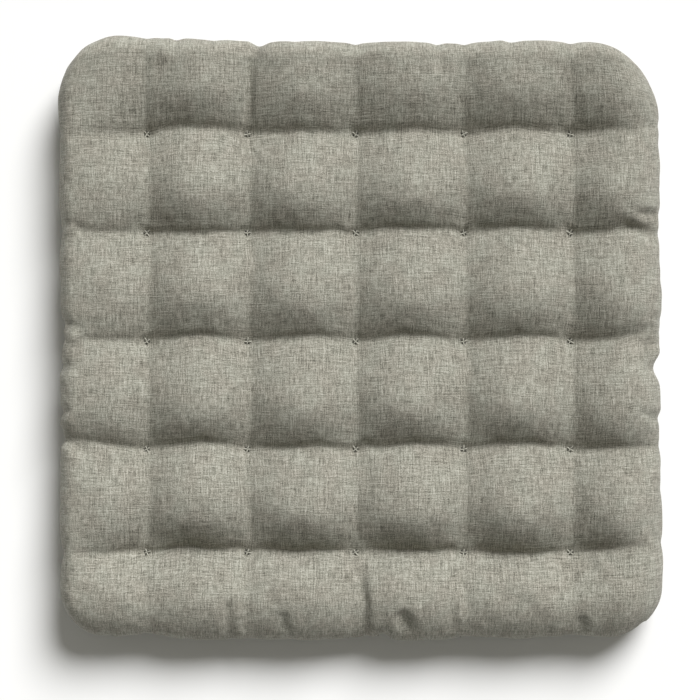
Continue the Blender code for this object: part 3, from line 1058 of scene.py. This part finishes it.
ties = []
for row in range(tuftRows):
    for column in range(tuftColumns):
        node = tieNode(row, column)
        turn = tieLook["firstTurn"] + tieLook["rowTurn"] * row + tieLook["columnTurn"] * column
        name = node.replace("tuft_tie", "starTie")
        ties.append((makeTie(name, (columnX[column], rowY[row]), turn), node))
print("ties made:", len(ties))

# The overlocked edge inside the seam, and the hand stitches that close the filling gap
seamLook = {
    "overlockInset": 0.0058,
    "loopPitch": 0.0032,
    "loopRadius": 0.0015,
    "loopShape": (1, 1.25, 0.8),
    "loopAlong": 0.88,        # how far a loop leans along the seam, and across it
    "loopAcross": 0.47,
    "threadRadius": 0.00028,
    "closingWidth": 0.100,
    "closingPitch": 0.0050,
    "closingReach": 0.0014,
    "closingSlant": 0.0011,
    "closingSink": 0.0006,    # how deep a stitch's ends lie, and how far its middle bulges
    "closingBulge": 0.0011,
    "closingOut": 0.0004,
    "closingThread": 0.00034,
    "closingSides": 6,
    "closingSteps": 6,
}


def copyAlong(name, template, places, material):
    # copies of one shape, each turned to its own place, in one piece
    points = readPoints(template.data)
    faces = [list(face.vertices) for face in template.data.polygons]
    allPoints, allFaces = [], []
    for origin, ahead, side, up in places:
        start = len(allPoints) * len(points)
        turned = origin + points @ np.array([ahead, side, up])
        allPoints.append(turned)
        allFaces += [[n + start for n in face] for face in faces]
    bpy.data.objects.remove(template)
    return newPiece(name, np.vstack(allPoints), allFaces, (material,))


def evenly(path, pitch):
    # points at an even pitch round a closed path
    closed = np.vstack([path, path[:1]])
    steps = np.linalg.norm(np.diff(closed, axis=0), axis=1)
    lengths = np.concatenate([[0], np.cumsum(steps)])
    count = int(lengths[-1] / pitch)
    marks = np.linspace(0, lengths[-1], count, endpoint=False)
    return np.column_stack([np.interp(marks, lengths, closed[:, axis]) for axis in range(3)])


def makeOverlock():
    look = seamLook
    angle = np.arctan2(seamPoints[:, 1], seamPoints[:, 0])
    path = seamPoints[np.argsort(angle)].copy()
    path[:, :2] *= 1 - look["overlockInset"] / halfWidth
    path[:, 2] = seamHeight
    path = evenly(path, look["loopPitch"])
    deselectAll()
    bpy.ops.mesh.primitive_torus_add(major_radius=look["loopRadius"], major_segments=10,
                                     minor_radius=look["threadRadius"], minor_segments=5,
                                     rotation=(0, math.pi / 2, 0))
    loop = bpy.context.object
    settlePlace()
    setMode("EDIT")
    bpy.ops.transform.resize(value=look["loopShape"], center_override=(0, 0, 0))
    setMode("OBJECT")
    ahead = np.roll(path, -1, axis=0) - np.roll(path, 1, axis=0)
    ahead /= np.linalg.norm(ahead, axis=1)[:, None]
    up = np.array([0.0, 0.0, 1.0])
    places = []
    for origin, forward in zip(path, ahead):
        side = np.cross(up, forward)
        leaning = forward * look["loopAlong"] + side * look["loopAcross"]
        places.append((origin, leaning, np.cross(up, leaning), up))
    return copyAlong("overlockStitch", loop, places, seamThread)


def makeClosingStitch():
    # slanting stitches that draw the two panels together along the front seam
    look = seamLook
    low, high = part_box("closing_stitch")
    middle = (low.x + high.x) / 2
    stitch = startThread(look["closingSides"], look["closingThread"],
                         (0, 0, look["closingReach"]))
    steps = look["closingSteps"]
    outs = [look["closingBulge"] * math.sin(math.pi * step / steps) - look["closingSink"]
            for step in range(steps + 1)]
    across, down = look["closingSlant"] / steps, -2 * look["closingReach"] / steps
    bpy.ops.transform.translate(value=(0, -outs[0], 0))
    for step in range(1, steps + 1):
        bpy.ops.mesh.extrude_region_move(
            TRANSFORM_OT_translate={"value": (across, outs[step - 1] - outs[step], down)})
    endThread()
    count = int(look["closingWidth"] / look["closingPitch"])
    places = []
    for n in range(count + 1):
        x = middle - look["closingWidth"] / 2 + n * look["closingPitch"]
        near = seamPoints[np.argmin(abs(seamPoints[:, 0] - x) + (seamPoints[:, 1] > 0))]
        for lean in (1, -1):
            shift = 0 if lean == 1 else look["closingPitch"] / 2
            places.append((np.array([x + shift, near[1] - look["closingOut"], near[2]]),
                           np.array([lean * 1.0, 0, 0]), np.array([0, 1.0, 0]),
                           np.array([0, 0, 1.0])))
    return copyAlong("closingStitch", stitch, places, seamThread)


overlock = makeOverlock()
closing = makeClosingStitch()
print("seam stitches made")

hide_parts("top_panel")
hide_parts("bottom_panel")
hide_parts("filling")
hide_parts("seam_overlock")
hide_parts("closing_stitch")
for piece in (topCover, underCover, filling, overlock, closing):
    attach(piece, "root")
for tie, node in ties:
    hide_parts(node)
    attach(tie, "root")
print("pieces placed on the body")

# Floor, light and camera
studioLook = {
    "cameraHeight": 1.9,
    "aimX": -0.0067,
    "aimY": -0.0067,
    "viewWidth": 0.468,       # what the camera sees across, at the seam's height
    "sensorWidth": 36,
    "sunStrength": 4.13,
    "sunElevation": 45,
    "sunAzimuth": 27,         # from the back towards the right, in degrees
    "sunSoftness": 30,
    "sunDistance": 2,
    "skyStrength": 0.19,
    "skyTint": (1, 0.985, 0.87),
    "horizonStrength": 0.85,  # a pale band round the horizon, which fades between two heights
    "bandStart": 0.06,
    "bandHeight": 0.24,
    "floorSize": 8,
    "floorTone": 0.9,
}

deselectAll()
bpy.ops.mesh.primitive_plane_add(size=studioLook["floorSize"], location=(0, 0, 0))
floor = bpy.context.object
floor.name = "floor"
floor.data.materials.append(newMaterial("paleFloor", (studioLook["floorTone"],) * 3, 0.9))

camera = bpy.data.cameras.new("camera")
cameraObject = bpy.data.objects.new("camera", camera)
scene.collection.objects.link(cameraObject)
cameraObject.location = (studioLook["aimX"], studioLook["aimY"], studioLook["cameraHeight"])
camera.sensor_width = studioLook["sensorWidth"]
lensPerMetre = camera.sensor_width / studioLook["viewWidth"]
camera.lens = lensPerMetre * (studioLook["cameraHeight"] - seamHeight)
scene.camera = cameraObject

sun = bpy.data.lights.new("softSun", "SUN")
sun.energy = studioLook["sunStrength"]
sun.angle = math.radians(studioLook["sunSoftness"])
sunObject = bpy.data.objects.new("softSun", sun)
scene.collection.objects.link(sunObject)
elevation = math.radians(studioLook["sunElevation"])
azimuth = math.radians(studioLook["sunAzimuth"])
level = math.cos(elevation)
towards = Vector((math.sin(azimuth) * level, math.cos(azimuth) * level, math.sin(elevation)))
sunObject.location = towards * studioLook["sunDistance"]
sunObject.rotation_euler = (-towards).to_track_quat("-Z", "Y").to_euler()

world = bpy.data.worlds.new("studio")
scene.world = world
world.use_nodes = True
tree = world.node_tree
towardsSky = tree.nodes.new("ShaderNodeSeparateXYZ")
tree.links.new(tree.nodes.new("ShaderNodeTexCoord").outputs["Object"], towardsSky.inputs["Vector"])
skyTone = tuple(part * studioLook["skyStrength"] for part in studioLook["skyTint"])
bandTone = (studioLook["horizonStrength"],) * 3
stops = [(studioLook["bandStart"], bandTone), (studioLook["bandHeight"], skyTone)]
band = rampNode(tree, towardsSky.outputs["Z"], stops)
tree.links.new(band, tree.nodes["Background"].inputs["Color"])
scene.view_settings.view_transform = "Standard"
